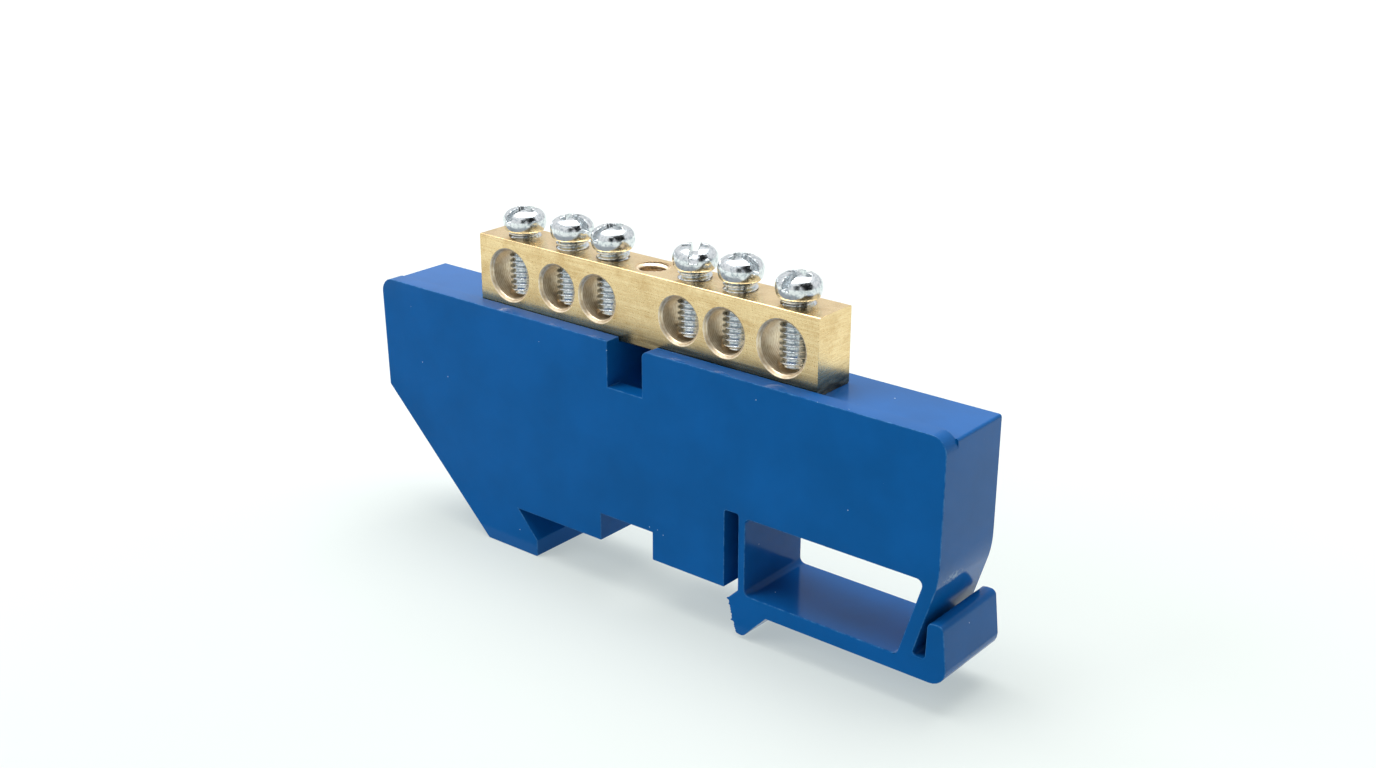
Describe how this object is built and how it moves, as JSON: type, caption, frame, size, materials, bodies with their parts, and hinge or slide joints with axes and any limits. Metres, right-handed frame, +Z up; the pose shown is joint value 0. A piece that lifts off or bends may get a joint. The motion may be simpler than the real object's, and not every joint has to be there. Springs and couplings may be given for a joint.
{
  "type": "rail-mounted terminal bar",
  "caption": "Brass terminal bar with screw-clamped wire ports, carried by a one-piece moulded holder that snaps onto a top-hat rail with a hook and a sprung foot.",
  "frame": {"origin": "middle of the bounding box at its foot: the part stands upright on the underside of its fixed hook and its snap tooth", "axes": "+X along the bar from the fixed hook to the release lever, +Y from the closed front face to the open back, +Z up, out of the rail towards the screws"},
  "size_m": [0.0862, 0.011, 0.0439],
  "materials": {
    "holder_plastic": "satin injection-moulded blue nylon",
    "bar_brass": "drawn brass with fine lengthwise grain",
    "screw_zinc": "bright zinc-plated steel"
  },
  "bodies": {
    "base": {"holder": "holder_plastic", "terminal_bar": "bar_brass"},
    "screw_1": {"terminal_screw_1": "screw_zinc"},
    "screw_2": {"terminal_screw_2": "screw_zinc"},
    "screw_3": {"terminal_screw_3": "screw_zinc"},
    "screw_4": {"terminal_screw_4": "screw_zinc"},
    "screw_5": {"terminal_screw_5": "screw_zinc"},
    "screw_6": {"terminal_screw_6": "screw_zinc"}
  },
  "joints": [
    {"name": "terminal_screw_1_travel", "type": "slide", "parent": "base", "child": "screw_1", "axis": [0, 0, 1], "range_m": [0, 0.0058]},
    {"name": "terminal_screw_2_travel", "type": "slide", "parent": "base", "child": "screw_2", "axis": [0, 0, 1], "range_m": [0, 0.005]},
    {"name": "terminal_screw_3_travel", "type": "slide", "parent": "base", "child": "screw_3", "axis": [0, 0, 1], "range_m": [0, 0.005]},
    {"name": "terminal_screw_4_travel", "type": "slide", "parent": "base", "child": "screw_4", "axis": [0, 0, 1], "range_m": [0, 0.005]},
    {"name": "terminal_screw_5_travel", "type": "slide", "parent": "base", "child": "screw_5", "axis": [0, 0, 1], "range_m": [0, 0.005]},
    {"name": "terminal_screw_6_travel", "type": "slide", "parent": "base", "child": "screw_6", "axis": [0, 0, 1], "range_m": [0, 0.0058]}
  ]
}
